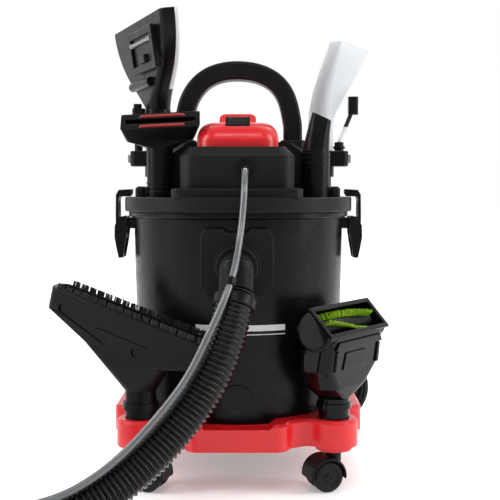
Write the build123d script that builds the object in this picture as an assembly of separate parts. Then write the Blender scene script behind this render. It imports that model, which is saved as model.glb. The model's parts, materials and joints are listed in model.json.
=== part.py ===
from build123d import *
import math
import os

# Wet and dry shop vacuum with spray extraction, millimetres, +Z up.
# Everything is drawn about the tank's axis: -Y is the front, with the hose inlet, +X is the right.
# The export moves it so that the origin is at the bottom centre of the box of its rigid parts.

# ---- driving dimensions -------------------------------------------------------------------
WALL = 3.0                  # moulded wall
GAP = 0.3                   # between parts that move past each other
FIT = 0.05                  # radial clearance of a shaft in its bore

BLOWER_X = -40.0            # blower port at the rear of the head
BLOWER_Z = 396.0
BLOWER_R = 16.0
PORT_X = 10.0               # fluid port on the head's front
PORT_Z = 405.0
PORT_R = 11.0
GLAND_R = 6.0

TANK_Z0 = 62.0              # underside of the tank
TANK_Z1 = 350.0             # top of the tank's rim
TANK_R0 = 137.0             # outer radius at the bottom
TANK_R1 = 143.0             # outer radius under the rim
TANK_RIM_R = 150.0
DRAIN_Z = 116.5
DRAIN_R = 19.5

BASE_Z0 = 58.0
BASE_Z1 = 92.0
BASE_R = 163.0
LOBE_AT = 122.0             # lobes, cups and casters stand at (+-122, +-122)
LOBE_R = 30.0
LOBE_Z0 = 52.0
CUP_R = 19.8                # accessory cup
CUP_FLOOR = 68.0

WHEEL_R = 20.0
WHEEL_INNER = 5.3           # inner face of each twin wheel, from the caster's middle
WHEEL_OUTER = 17.5
AXLE_R = 2.5
TRAIL = 13.0                # caster axle behind the stem
STEM_R = 5.0
HOOD_R = 24.0
CASTER_ANGLES = {"front_left": 340.0, "front_right": 200.0, "rear_left": 150.0, "rear_right": 30.0}

LID_R = 155.0
LID_Z0 = 352.0
LID_Z1 = 369.0
DECK = 4.0
DECK_HOLE_R = 60.0
PLATFORM_X = 82.0
PLATFORM_Y = 140.0
PLATFORM_Z1 = 380.5
PEG_X = 102.0
PEG_Y = -60.0
PEG_R = 13.0
PEG_Z1 = 408.0

HEAD_Z0 = 380.5
HEAD_Z1 = 433.0
HEAD_X = 73.0
HEAD_Y = 120.0
HEAD_REAR_R = 114.0
SHOULDER_Z = 442.0
HEAD_SPLIT_Y = -43.0        # behind this the head stands on the lid's ring, before it on the platform
COLLAR_Z1 = 446.0

HANDLE_TOP = 553.0
HANDLE_UNDER = 527.0
HANDLE_DEPTH = 34.0

SWITCH_Y = -60.0            # rocker pivot
SWITCH_Z = 457.0
SWITCH_TILT = 35.0          # slope of the rocker's panel, degrees
SWITCH_W = 31.0
SWITCH_L = 30.0

INLET_Z = 286.0
INLET_R = 25.5              # spigot through the tank wall
CUFF_R = 20.25
HOSE_R = 22.5
HOSE_BORE_R = 19.0
FLUID_R = 4.0

SHAFT_R = 4.0
CAGE_R = 52.0
CAGE_Z0 = 262.0
FLOAT_R = 21.0

LEVER_PIN = (156.0, 337.0)  # X and Z of the lever's pivot
CLAW_PIN = (159.0, 316.0)
LATCH_PIN_R = 2.0
LATCH_HALF = 18.0

TUBE_R = 16.5               # extension tubes
TUBE_Z1 = 437.0
SOCKET_R = 19.5             # neck of every 35 mm accessory, outside, in its cup

FLOOR_BAR_AT = (-132.0, -127.0, 205.0)
FLOOR_BAR_YAW = -27.0
FLOOR_BAR_ROLL = 15.0
ROLLER_AT = (132.5, -123.7, 209.0)
TURBO_YAW = 52.0
MOUTH_TILT = 46.0           # turbo brush and upholstery nozzle mouths, from level
MOUTH_OFF = 14.0            # roller axis to the plane of the mouth
ROLLER_SHAFT_R = 3.0
TURBINE_SHAFT_R = 2.5
TURBINE_DROP = -40.0
FAN_MOUTH_AT = (-143.0, 122.5, 629.0)
FAN_YAW = 113.6
FAN_LEAN = 8.4
CLEAR_YAW = 62.6
HANDLE_YAW = 86.4
HANDLE_DIP = 0.6
NOSE_R = 17.5               # 35 mm accessory system
TRIGGER_PIN = (156, 0, 31)  # in the handle's frame
PLUG_R = 15.0
HOOK_BAR_R = 5.0
HOOK_ARM_AT = (60, 127.5)     # foot of the coil's bracket on the tank's wall
HOOK_PAD_Z = 132.0
PLUG_AT = (108, 218, 52)

CORD_R = 3.5
COIL_AT = (148, 182, 64)
COIL_R = 42.0
COIL_SECTION_R = 17.0

# Routes of the free hose, fluid tube and power cord, chosen by hand.
HOSE_ROUTE = [(0, -210, 257), (-12, -247, 195), (-56, -270, 125), (-121, -302, 63), (-203, -340, 25),
              (-318, -362, 22.6), (-428, -338, 22.6), (-508, -272, 22.6), (-550, -178, 22.6),
              (-558, -76, 22.6), (-552, 20, 26)]
FLUID_ROUTE = [(10, -142, 402), (9.5, -160, 392), (9, -172, 372), (7, -178, 345), (3, -196, 313),
               (-2, -222, 286), (-10, -244, 262), (-28, -260, 222), (-52, -275, 174), (-77, -288, 142),
               (-108, -302, 108), (-142, -320, 80), (-184, -339, 60), (-248, -353, 51.5), (-326, -357, 50.5),
               (-402, -341, 50.5), (-462, -304, 50.5), (-506, -262, 50.5), (-537, -205, 50.5),
               (-551, -140, 50.5), (-556, -76, 50.5), (-554, -22, 53), (-552, 22, 56)]
CORD_ROUTE = [(60, 122, 404), (60, 142, 402), (63, 160, 388), (70, 172, 352), (80, 179, 300), (92, 182, 235),
              (102, 182, 165), (106, 182, 108), (106, 182, 70)]


# ---- helpers --------------------------------------------------------------------------------
def disc(radius, z0, z1, x=0.0, y=0.0):
    """An upright cylinder between two heights."""
    return Pos(x, y, (z0 + z1) / 2) * Cylinder(radius, z1 - z0)


def tube(outer, inner, z0, z1, x=0.0, y=0.0):
    return disc(outer, z0, z1, x, y) - disc(inner, z0 - 1, z1 + 1, x, y)


def block(x0, x1, y0, y1, z0, z1):
    return Pos((x0 + x1) / 2, (y0 + y1) / 2, (z0 + z1) / 2) * Box(x1 - x0, y1 - y0, z1 - z0)


def slab(width, depth, corner, z0, z1, x=0.0, y=0.0):
    """A rounded rectangle standing between two heights."""
    return extrude(Pos(x, y, z0) * RectangleRounded(width, depth, corner), z1 - z0)


def turned(points, angle=360.0):
    """Turn an outline of (radius, height) points about Z."""
    outline = make_face(Polyline(*[(r, 0, z) for r, z in points], close=True))
    return revolve(outline, Axis.Z, angle)


def side_plate(points, y0, y1):
    """Extrude an outline of (x, z) points along Y."""
    outline = make_face(Polyline(*[(x, y0, z) for x, z in points], close=True))
    return extrude(outline, y1 - y0, dir=(0, 1, 0))


def rod(start, end, radius):
    start, end = Vector(*start), Vector(*end)
    length = (end - start).length
    return Plane(origin=start, z_dir=end - start) * (Pos(0, 0, length / 2) * Cylinder(radius, length))


def level(x, y, z, toward=(1, 0, 0)):
    return Plane(origin=(x, y, z), x_dir=toward, z_dir=(0, 0, 1))


def one(shape):
    """The single solid of a shape, or the compound if it has several."""
    solids = shape.solids()
    return solids[0] if len(solids) == 1 else Compound(children=list(solids))


def mirrored(shape):
    return mirror(shape, Plane.YZ)


def tank_radius(z):
    return TANK_R0 + (TANK_R1 - TANK_R0) * (z - TANK_Z0) / (TANK_Z1 - TANK_Z0)


def tank_outside(grow=0.0):
    return turned([(0, TANK_Z0), (TANK_R0 + grow, TANK_Z0), (TANK_R1 + grow, TANK_Z1), (0, TANK_Z1)])


def cord_path(points):
    """Straight runs joined by arcs as large as the runs allow; also prints the arcs' radii."""
    corners = [Vector(*point) for point in points]
    radii = []
    for before, at, after in zip(corners, corners[1:], corners[2:]):
        half_turn = math.radians((at - before).get_angle(after - at)) / 2
        shorter = min((at - before).length, (after - at).length)
        radii.append(0.45 * shorter / math.tan(half_turn))
    print("radii", [round(radius) for radius in radii])
    return FilletPolyline(*points, radius=radii)


def cord_solid(points, radius, bore=0.0):
    path = cord_path(points)
    start = Plane(origin=path @ 0, z_dir=path % 0)
    section = Circle(radius) - Circle(bore) if bore else Circle(radius)
    solid = sweep(start * section, path=path)
    expected = math.pi * (radius ** 2 - bore ** 2) * path.length
    print("length", round(path.length), "volume over section times length", round(solid.volume / expected, 3))
    return solid


# ---- base and casters -----------------------------------------------------------------------
SCREW_SPOTS = [(126, 0), (0, 126), (-126, 0), (0, -126)]
CORNERS = {"front_left": (-LOBE_AT, -LOBE_AT), "front_right": (LOBE_AT, -LOBE_AT),
           "rear_left": (-LOBE_AT, LOBE_AT), "rear_right": (LOBE_AT, LOBE_AT)}


def dolly_base():
    plan = Circle(BASE_R - 3) + RectangleRounded(130, 2 * BASE_R + 4, 18)
    plan += RectangleRounded(2 * BASE_R + 4, 130, 18)
    for x, y in CORNERS.values():
        plan += Pos(x, y) * Circle(LOBE_R)
    plan = offset(offset(plan, 14), -14)
    body = extrude(Pos(0, 0, BASE_Z0) * plan, BASE_Z1 - BASE_Z0)
    body = chamfer(body.faces().sort_by(Axis.Z)[-1].edges(), 3.5)
    room = offset(plan, -4) - Circle(TANK_R0 + 5)
    for x, y in CORNERS.values():
        room -= Pos(x, y) * Circle(CUP_R + 3)
    body -= extrude(Pos(0, 0, BASE_Z0 - 1) * room, BASE_Z1 - BASE_Z0 - 3.5)
    for x, y in CORNERS.values():
        body += disc(CUP_R + 3, LOBE_Z0, BASE_Z0 + 1, x, y)
    body -= disc(TANK_R0 + 1.2, TANK_Z0, BASE_Z1 + 1)
    body -= disc(TANK_R0 - 22, BASE_Z0 - 1, TANK_Z0 + 1)
    notch = side_plate([(-48, BASE_Z1 + 1), (-40, BASE_Z1 - 6), (40, BASE_Z1 - 6), (48, BASE_Z1 + 1)], -180, -130)
    body -= notch
    for x, y in CORNERS.values():
        body -= disc(CUP_R, CUP_FLOOR, BASE_Z1 + 1, x, y)
        body -= disc(STEM_R, LOBE_Z0 - 1, CUP_FLOOR - 4, x, y)
    for screw_x, screw_y in SCREW_SPOTS:
        body -= disc(2.0, BASE_Z0 - 1, TANK_Z0 + 1, screw_x, screw_y)
    return body


def base_screws():
    screws = [disc(4.5, BASE_Z0 - 2.2, BASE_Z0, x, y) + disc(2.0, BASE_Z0 - 0.1, TANK_Z0 + 2.5, x, y)
              for x, y in SCREW_SPOTS]
    return Compound(children=[one(screw) for screw in screws])


def caster_stems():
    stems = []
    for x, y in CORNERS.values():
        stem = disc(STEM_R, LOBE_Z0 - 0.5, CUP_FLOOR - 4, x, y) + disc(STEM_R - FIT, 30, LOBE_Z0, x, y)
        stems.append(stem + disc(8, 48.4, LOBE_Z0, x, y))
    return Compound(children=[one(stem) for stem in stems])


def caster_housing():
    """Hood, web, axle and stem boss of one caster, stem on Z, trailing towards +X."""
    hood = Pos(TRAIL, 0, WHEEL_R) * Rot(90, 0, 0) * Cylinder(HOOD_R, 2 * WHEEL_OUTER + 1)
    hood = fillet(hood.edges(), 2.5)
    for side in (1, -1):
        middle = side * (WHEEL_INNER - GAP + 25)
        hood -= Pos(TRAIL, middle, WHEEL_R) * Rot(90, 0, 0) * Cylinder(WHEEL_R + 1.2, 50)
    hood -= block(-20, 60, -30, 30, -10, WHEEL_R - 3)
    web = Pos(TRAIL, 0, WHEEL_R) * Rot(90, 0, 0) * Cylinder(8, 2 * (WHEEL_INNER - GAP))
    axle = Pos(TRAIL, 0, WHEEL_R) * Rot(90, 0, 0) * Cylinder(AXLE_R, 2 * WHEEL_OUTER - 1)
    boss = disc(9.5, 25, 48)
    for side in (1, -1):
        middle = side * (WHEEL_INNER - GAP + 25)
        boss -= Pos(TRAIL, middle, WHEEL_R) * Rot(90, 0, 0) * Cylinder(WHEEL_R + 1.2, 50)
    return one(hood + web + axle + boss - disc(STEM_R, 29.5, 60))


def caster_wheels():
    """Both wheels of one caster, in the housing's frame."""
    wheels = []
    for side in (1, -1):
        outline = [(AXLE_R + FIT, WHEEL_INNER), (14, WHEEL_INNER), (WHEEL_R - 1.5, WHEEL_INNER + 0.3),
                   (WHEEL_R, WHEEL_INNER + 2.5), (WHEEL_R, WHEEL_OUTER - 4), (WHEEL_R - 2.5, WHEEL_OUTER - 0.8),
                   (14, WHEEL_OUTER), (12.5, WHEEL_OUTER - 1.5), (5, WHEEL_OUTER - 1.5),
                   (5, WHEEL_OUTER), (AXLE_R + FIT, WHEEL_OUTER)]
        wheel = turned(outline)
        wheels.append(Pos(TRAIL, 0, WHEEL_R) * Rot(-90 * side, 0, 0) * wheel)
    return wheels


def placed_caster(shape, corner):
    x, y = CORNERS[corner]
    return Pos(x, y, 0) * Rot(0, 0, CASTER_ANGLES[corner]) * shape


# ---- tank, inlet and latches ------------------------------------------------------------------
def tank():
    outside = turned([(0, TANK_Z0), (TANK_R0 - 8, TANK_Z0), (TANK_R0 - 2, TANK_Z0 + 2.5),
                      (tank_radius(TANK_Z0 + 9), TANK_Z0 + 9), (tank_radius(341), 341), (TANK_RIM_R - 1, 343),
                      (TANK_RIM_R, 344), (TANK_RIM_R, TANK_Z1 - 1), (TANK_RIM_R - 1, TANK_Z1), (0, TANK_Z1)])
    outside += Pos(0, -TANK_R0 + 3, DRAIN_Z) * Rot(90, 0, 0) * Cylinder(DRAIN_R, 12.0)
    inside = turned([(0, TANK_Z0 + 3.5), (TANK_R0 - 12, TANK_Z0 + 3.5), (tank_radius(TANK_Z0) - WALL, TANK_Z0 + 14),
                     (tank_radius(TANK_Z1) - WALL, TANK_Z1 + 1), (0, TANK_Z1 + 1)])
    shell = outside - inside
    for x, y in SCREW_SPOTS:
        shell -= disc(2.0, TANK_Z0 - 1, TANK_Z0 + 2.5, x, y)
    return shell - Pos(0, -TANK_R1, INLET_Z) * Rot(90, 0, 0) * Cylinder(INLET_R + 0.2, 40)


def inlet_fitting():
    """Flat moulded plate with clipped corners, two round steps and the spigot through the wall."""
    outline = Polyline((-45, 0, 322), (-39, 0, 331), (-17, 0, 331), (-14, 0, 326.5), (14, 0, 326.5), (17, 0, 331),
                       (39, 0, 331), (45, 0, 322), (45, 0, 262), (36, 0, 249), (22, 0, 245), (-22, 0, 245),
                       (-36, 0, 249), (-45, 0, 262), close=True)
    plate = extrude(Pos(0, -150.5, 0) * make_face(outline), 30, dir=(0, 1, 0))
    plate = fillet(plate.faces().sort_by(Axis.Y)[0].edges(), 1.6)
    plate -= tank_outside(0.05)
    ring = Pos(0, -152, INLET_Z) * Rot(90, 0, 0) * Cylinder(28.8, 16)
    ring += Pos(0, -158, INLET_Z) * Rot(90, 0, 0) * Cylinder(INLET_R, 25)
    ring = fillet(ring.edges().filter_by(GeomType.CIRCLE).sort_by(Axis.Y)[0], 1.5)
    ring -= tank_outside(0.05)
    spigot = Pos(0, -143, INLET_Z) * Rot(90, 0, 0) * Cylinder(INLET_R, 24)
    bore = Pos(0, -150, INLET_Z) * Rot(90, 0, 0) * Cylinder(CUFF_R + 0.3, 60)
    return one(plate + ring + spigot - bore)


def latch_plate(points, half):
    return side_plate(points, -half, half)


def eye(pin, radius, half):
    return Pos(pin[0], 0, pin[1]) * Rot(90, 0, 0) * Cylinder(radius, 2 * half)


def latch_bracket():
    """Right-hand bracket with its pivot pin, seated on the tank's wall."""
    seat = latch_plate([(138, 326), (150, 326), (156, 331), (156, 340.8), (138, 340.8)], 11.0)
    seat = seat + eye(LEVER_PIN, 5.0, 11.0) - tank_outside(0.05)
    return one(seat + eye(LEVER_PIN, LATCH_PIN_R, LATCH_HALF - 0.5))


def latch_lever():
    """Two cheeks on the pivot, the claw's pin and the finger pad at the bottom."""
    cheek_outline = [(151, 340), (153, 342.5), (160, 342.5), (165, 338), (168.5, 330), (169, 314), (166.5, 300),
                     (163.5, 286), (158, 286), (153.5, 312), (151, 331)]
    cheeks = latch_plate(cheek_outline, LATCH_HALF) - latch_plate([(140, 280), (180, 280), (180, 360), (140, 360)], 13.0)
    cheeks -= eye(LEVER_PIN, LATCH_PIN_R + FIT, LATCH_HALF + 1)
    pad = latch_plate([(166.8, 301), (163.5, 286), (158, 286), (160.5, 305), (165.5, 305)], LATCH_HALF)
    pin = eye(CLAW_PIN, LATCH_PIN_R, LATCH_HALF - 0.5)
    return one(cheeks + pad + pin)


def latch_claw():
    """Plate on the claw's pin, with the hook over the lid's ring."""
    plate = latch_plate([(163.8, 310), (167.2, 310), (168.0, 340), (167.4, 372), (163.4, 378.5), (146.5, 379.5),
                         (146.5, 374), (149.5, 369.5), (162.0, 369.5), (163.8, 366)], 12.0)
    plate += latch_plate([(158, 310.6), (165, 310), (165, 321.5), (158, 321.4)], 12.0)
    claw = plate + eye(CLAW_PIN, 5.4, 12.0)
    window = latch_plate([(160, 345), (170, 345), (170, 362), (160, 362)], 5.5)
    return one(claw - window - eye(CLAW_PIN, LATCH_PIN_R + FIT, 20))


# ---- lid, head and cover ----------------------------------------------------------------------
def lid():
    ring = turned([(DECK_HOLE_R, LID_Z1 - DECK), (TANK_R1 - WALL - 4.5, LID_Z1 - DECK), (TANK_R1 - WALL - 4.5, 335),
                   (TANK_R1 - WALL - 1.5, 335), (TANK_R1 - WALL - 1.5, TANK_Z1 + 0.05), (LID_R - 1, TANK_Z1 + 0.05),
                   (LID_R, LID_Z0), (LID_R, LID_Z1 - 1.2), (LID_R - 1.2, LID_Z1), (DECK_HOLE_R, LID_Z1)])
    platform = slab(2 * PLATFORM_X, PLATFORM_Y, 14, LID_Z1 - 0.5, PLATFORM_Z1, 0, -PLATFORM_Y / 2)
    platform = fillet(platform.faces().sort_by(Axis.Z)[-1].edges(), 2.5)
    platform -= block(-100, 100, HEAD_SPLIT_Y, 100, 360, 400)
    platform -= block(-PLATFORM_X + 5, PLATFORM_X - 5, -PLATFORM_Y + 5, HEAD_SPLIT_Y - 4, 360, PLATFORM_Z1 - 3)
    body = ring + platform
    for side in (1, -1):
        lug = slab(13, 78, 5, LID_Z1 - 0.5, LID_Z1 + 14, side * 127.5, -31)
        body += chamfer(lug.faces().sort_by(Axis.Z)[-1].edges(), 3)
        body += disc(PEG_R, LID_Z1 - 1, PEG_Z1, side * PEG_X, PEG_Y)
        body -= disc(PEG_R - 3, LID_Z1 + 3, PEG_Z1 + 1, side * PEG_X, PEG_Y)
        body -= tube(18.6, PEG_R, LID_Z1 + 2.0, PLATFORM_Z1 + 10, side * PEG_X, PEG_Y)
    return one(body - disc(DECK_HOLE_R, LID_Z1 - DECK - 1, PLATFORM_Z1 + 1))


def head_housing():
    front = slab(2 * HEAD_X, HEAD_Y + 60, 22, HEAD_Z0, HEAD_Z1, 0, (60 - HEAD_Y) / 2)
    front = chamfer(front.faces().sort_by(Axis.Z)[-1].edges(), 12)
    rear = turned([(0, LID_Z1), (HEAD_REAR_R - 1, LID_Z1), (HEAD_REAR_R, LID_Z1 + 1), (HEAD_REAR_R, 414),
                   (HEAD_REAR_R - 3, 421), (96, 428), (80, SHOULDER_Z - 1.5), (74, SHOULDER_Z), (0, SHOULDER_Z)])
    rear -= block(-130, 130, -130, HEAD_SPLIT_Y + 0.1, 360, 450)
    body = front + rear
    for side in (1, -1):
        collar = slab(34, 46, 9, 425, COLLAR_Z1, side * 74, 0)
        body += fillet(collar.faces().sort_by(Axis.Z)[-1].edges(), 3)
    room = slab(2 * HEAD_X - 8, HEAD_Y + 52, 18, HEAD_Z0 - 1, HEAD_Z1 - 4, 0, (60 - HEAD_Y) / 2)
    room = chamfer(room.faces().sort_by(Axis.Z)[-1].edges(), 10)
    behind = disc(HEAD_REAR_R - 4, LID_Z1 - 1, 411) + disc(76, 405, SHOULDER_Z - 4)
    room += behind - block(-130, 130, -130, HEAD_SPLIT_Y + 4, 360, 450)
    for side in (1, -1):
        room -= disc(23.5, LID_Z1 - 1, SHOULDER_Z + 1, side * PEG_X, PEG_Y)
        body -= disc(20.5, LID_Z1 - 1, SHOULDER_Z + 1, side * PEG_X, PEG_Y)
    body -= room + disc(DECK_HOLE_R, LID_Z1 - 1, HEAD_Z0 + 5)
    body += tube(57, 53, HEAD_Z1 - 4, SHOULDER_Z - 3) - block(-60, 60, -60, HEAD_SPLIT_Y + 4, 420, 450)
    for step in range(-4, 5):
        body -= Rot(0, 0, 70 + 5 * step) * block(HEAD_REAR_R - 10, HEAD_REAR_R + 2, -2, 2, 384, 404)
    port = Pos(BLOWER_X, HEAD_REAR_R - 12, BLOWER_Z) * Rot(90, 0, 0) * Cylinder(BLOWER_R + 3, 34)
    bore = Pos(BLOWER_X, HEAD_REAR_R - 12, BLOWER_Z) * Rot(90, 0, 0) * Cylinder(BLOWER_R, 40)
    body = body + port - bore
    gland_x, gland_y, gland_z = CORD_ROUTE[0]
    body -= Pos(gland_x, gland_y - 22, gland_z) * Rot(90, 0, 0) * Cylinder(GLAND_R, 40)
    body -= Pos(gland_x, gland_y - 5.6, gland_z) * Rot(90, 0, 0) * Cylinder(9.7, 40)
    return one(body - Pos(PORT_X, -HEAD_Y, PORT_Z) * Rot(90, 0, 0) * Cylinder(PORT_R - 3, 20))


def cover_panel_plane():
    return Plane(origin=(0, SWITCH_Y, SWITCH_Z), x_dir=(1, 0, 0),
                 z_dir=(0, -math.sin(math.radians(SWITCH_TILT)), math.cos(math.radians(SWITCH_TILT))))


def top_cover():
    """Domed red cover with the raised switch panel."""
    dome = loft([level(0, -16, SHOULDER_Z + 0.1) * RectangleRounded(106, 154, 26),
                 level(0, -14, 452) * RectangleRounded(103, 150, 26),
                 level(0, -8, 466) * RectangleRounded(78, 118, 24)])
    dome = fillet(dome.faces().sort_by(Axis.Z)[-1].edges(), 5)
    skirt = extrude(level(0, -16, HEAD_Z1 + 0.1) * RectangleRounded(106, 154, 26), SHOULDER_Z - HEAD_Z1)
    skirt -= block(-60, 60, HEAD_SPLIT_Y - 0.2, 80, HEAD_Z1 - 1, SHOULDER_Z + 0.1)
    panel = cover_panel_plane() * (Pos(0, 0, -5) * extrude(RectangleRounded(48, 50, 9), 15, both=True))
    panel = fillet(panel.faces().sort_by(Axis.Z)[-1].edges(), 3)
    panel &= block(-60, 60, -92, 20, SHOULDER_Z - 1, 500)
    body = dome + skirt + panel
    recess = cover_panel_plane() * Pos(0, 0, 4) * Box(SWITCH_W + 2 * GAP, SWITCH_L + 2 * GAP, 24)
    body -= loft([level(0, -16, SHOULDER_Z) * RectangleRounded(100, 148, 23),
                  level(0, -14, 450) * RectangleRounded(97, 144, 23),
                  level(0, -8, 461.5) * RectangleRounded(72, 112, 20)]) - block(-30, 30, -100, -28, 430, 490)
    return one(body - recess)


def power_switch():
    """Ribbed rocker in its recess, pivoting about X on two short stubs."""
    outline = [(-14.6, 1.0), (-14.0, 4.4), (0, 2.2), (12.7, 7.6), (14.4, 3.0), (13.0, -3.0), (3, -6), (-3, -6),
               (-13.0, -3.0)]
    face = make_face(Polyline(*[(-SWITCH_W / 2, y, z) for y, z in outline], close=True))
    rocker = extrude(face, SWITCH_W, dir=(1, 0, 0)) + Rot(0, 90, 0) * Cylinder(1.5, SWITCH_W + GAP)
    for step in range(5):
        y = 2.5 + 2.2 * step
        rocker += Pos(0, y, 2.6 + (y * 0.43)) * Rot(0, 90, 0) * Cylinder(0.6, SWITCH_W - 5)
    return one(cover_panel_plane() * Pos(0, 0, 4) * rocker)


def carry_handle():
    """Arch of rounded section from collar to collar."""
    foot = COLLAR_Z1 + 0.05
    side = [(-74.5, 0, foot), (-73.3, 0, 472), (-66, 0, 502), (-42, 0, 530)]
    crown = (HANDLE_TOP + HANDLE_UNDER) / 2
    points = side + [(0, 0, crown)] + [(-x, y, z) for x, y, z in reversed(side)]
    path = Spline(*points, tangents=((0, 0, 1), (0, 0, -1)))
    section = Plane(origin=points[0], x_dir=(1, 0, 0), z_dir=(0, 0, 1)) * RectangleRounded(25, HANDLE_DEPTH, 5.5)
    return one(sweep(section, path=path))


# ---- motor, filter and pump -------------------------------------------------------------------
def motor_stator():
    """Closed motor can hanging from the head's ceiling, with a bearing below and above."""
    can = tube(50, 47, 392, 425) + disc(50, 388, 392.5) + disc(50, 424.5, HEAD_Z1 - 4.1)
    can += tube(57, 49, 425.5, HEAD_Z1 - 4.1) + tube(47.5, 29, 398, 420)
    return one(can - disc(SHAFT_R + FIT, 380, 427.5))


def motor_rotor():
    return disc(SHAFT_R, 372, 427) + disc(27.5, 400, 418) + disc(12, 420, 423)


def fan_impeller():
    fan = tube(44, SHAFT_R, 372, 374.5) + tube(9, SHAFT_R, 372, 386)
    for step in range(7):
        fan += Rot(0, 0, step * 360 / 7) * Pos(26, 0, 378) * Rot(0, 0, 28) * Box(34, 1.8, 8)
    return one(fan)


def filter_cage():
    """Basket below the lid: flange, slotted wall and floor."""
    cage = tube(CAGE_R, CAGE_R - 2.5, CAGE_Z0, LID_Z1 - DECK) + disc(CAGE_R, CAGE_Z0, CAGE_Z0 + 2.5)
    cage += tube(76, CAGE_R - 2.5, LID_Z1 - DECK - 3, LID_Z1 - DECK)
    for step in range(4):
        cage -= Rot(0, 0, 45 + 90 * step) * block(0, 70, -9, 9, CAGE_Z0 + 6, CAGE_Z0 + 46)
    return one(cage)


def filter_cartridge():
    """Pleated ring between two end rings."""
    pleats = []
    count = 36
    for step in range(2 * count):
        angle = math.pi * step / count
        radius = CAGE_R + (16 if step % 2 else 8)
        pleats.append((radius * math.cos(angle), radius * math.sin(angle), 322))
    ring = extrude(make_face(Polyline(*pleats, close=True)), 36) - disc(CAGE_R + 0.2, 300, 370)
    return one(ring + tube(CAGE_R + 18, CAGE_R + 0.2, 318, 322) + tube(CAGE_R + 18, CAGE_R + 0.2, 358, 361.5))


def float_ball():
    return Pos(0, 0, CAGE_Z0 + 2.5 + GAP + FLOAT_R) * Sphere(FLOAT_R)


def water_pump():
    body = slab(42, 30, 6, LID_Z1 + 0.1, 396, 45, 64)
    return one(body + disc(9, 395, 402, 38, 64) + disc(4, 395, 407, 56, 64))


def fluid_port():
    """Round outlet on the head's front with the tube's barb."""
    flange = Pos(PORT_X, -HEAD_Y - 3, PORT_Z) * Rot(90, 0, 0) * Cylinder(PORT_R, 6)
    nut = Pos(PORT_X, -HEAD_Y - 9, PORT_Z) * Rot(90, 0, 0) * Cylinder(8.0, 8)
    spigot = Pos(PORT_X, -HEAD_Y + 2, PORT_Z) * Rot(90, 0, 0) * Cylinder(PORT_R - 3, 8)
    barb = rod((PORT_X, -HEAD_Y - 10, PORT_Z), FLUID_ROUTE[0], 5.0)
    return one(flange + nut + spigot + barb)


# ---- hose, fluid tube and spray handle ----------------------------------------------------------
def hose_cuff():
    """Rigid bent cuff from the inlet down to the hose."""
    hose_start = Vector(*HOSE_ROUTE[0])
    heading = (Vector(*HOSE_ROUTE[1]) - hose_start).normalized()
    bend = Spline((0, -174, INLET_Z), hose_start, tangents=((0, -1, 0), tuple(heading)))
    path = Curve() + Line((0, -147, INLET_Z), (0, -174, INLET_Z)) + bend
    section = Plane(origin=(0, -147, INLET_Z), z_dir=(0, -1, 0)) * (Circle(CUFF_R) - Circle(CUFF_R - 2.5))
    return one(sweep(section, path=path))


def hose():
    return cord_solid(HOSE_ROUTE, HOSE_R, HOSE_BORE_R)


def fluid_tube():
    return cord_solid(FLUID_ROUTE, FLUID_R)


def hose_clips():
    """Band round the hose's first ribs."""
    start, end = Vector(*HOSE_ROUTE[0]), Vector(*HOSE_ROUTE[1])
    place = Plane(origin=start + (end - start).normalized() * 9, z_dir=end - start)
    band = place * (Cylinder(HOSE_R + 2.4, 13) - Cylinder(HOSE_R + 0.1, 15))
    return one(band)


def handle_place():
    """Frame of the spray handle: X along it from the hose's end, tipped so that its nose lies low."""
    return Pos(*HOSE_ROUTE[-1]) * Rot(0, 0, HANDLE_YAW) * Rot(0, HANDLE_DIP, 0)


def spray_handle():
    outline = [(-12, 23.4), (-12, 25.3), (58, 25.3), (84, 20), (176, 19), (184, 21), (196, 21), (200, NOSE_R),
               (250, NOSE_R), (250, NOSE_R - 3), (90, 15), (60, HOSE_BORE_R), (0.4, HOSE_BORE_R), (0.4, 23.4)]
    body = revolve(make_face(Polyline(*[(x, r, 0) for x, r in outline], close=True)), Axis.X)
    valve = Pos(24, 0, 27) * Box(44, 15, 14) + Pos(70, 0, 24) * Box(60, 11, 12)
    valve -= Pos(60, 0, 0) * Rot(0, 90, 0) * Cylinder(18, 240)
    guard = Pos(128, 0, 36) * (Box(84, 11, 48) - Box(70, 13, 36))
    for side in (1, -1):
        guard += Pos(157, side * 4.8, 27) * Box(14, 1.6, 18)
    guard -= Pos(*TRIGGER_PIN) * Rot(90, 0, 0) * Cylinder(1.5 + FIT, 20)
    guard -= Pos(128, 0, 0) * Rot(0, 90, 0) * Cylinder(17.5, 100)
    return one(handle_place() * (body + (valve - body) + (guard - body)))


def spray_trigger():
    """Trigger inside the guard, on its pivot at the guard's front post."""
    pin = Pos(*TRIGGER_PIN) * Rot(90, 0, 0)
    blade = Pos(140, 0, 31) * Box(30, 7, 5) + pin * Cylinder(4, 7) + pin * Cylinder(1.5, 11)
    return one(handle_place() * blade)


# ---- power cord -----------------------------------------------------------------------------------
def cord_gland():
    x, y, z = CORD_ROUTE[0]
    outline = [(0, 0), (0, CORD_R + 1.2), (22, 7.0), (22, 9.5), (25.5, 9.5), (25.5, GLAND_R), (32, GLAND_R), (32, 0)]
    gland = revolve(make_face(Polyline(*[(u, r, 0) for u, r in outline], close=True)), Axis.X)
    return Pos(x, y, z) * Rot(0, 0, -90) * gland


def power_cord():
    return cord_solid(CORD_ROUTE, CORD_R)


def cord_coil():
    return Pos(*COIL_AT) * Rot(90, 0, 0) * Torus(COIL_R, COIL_SECTION_R)


def power_plug():
    """Round two-pin plug hanging behind the coil, with its pins down."""
    place = Pos(*PLUG_AT) * Rot(0, 90, 0)
    outline = [(-24, 0), (-24, 5), (-10, 7), (-6, PLUG_R), (16, PLUG_R), (18, PLUG_R - 2), (18, 0)]
    body = revolve(make_face(Polyline(*[(x, r, 0) for x, r in outline], close=True)), Axis.X)
    for side in (1, -1):
        body += rod((17, side * 9.5, 0), (37, side * 9.5, 0), 2.4)
    return one(place * body)


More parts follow.
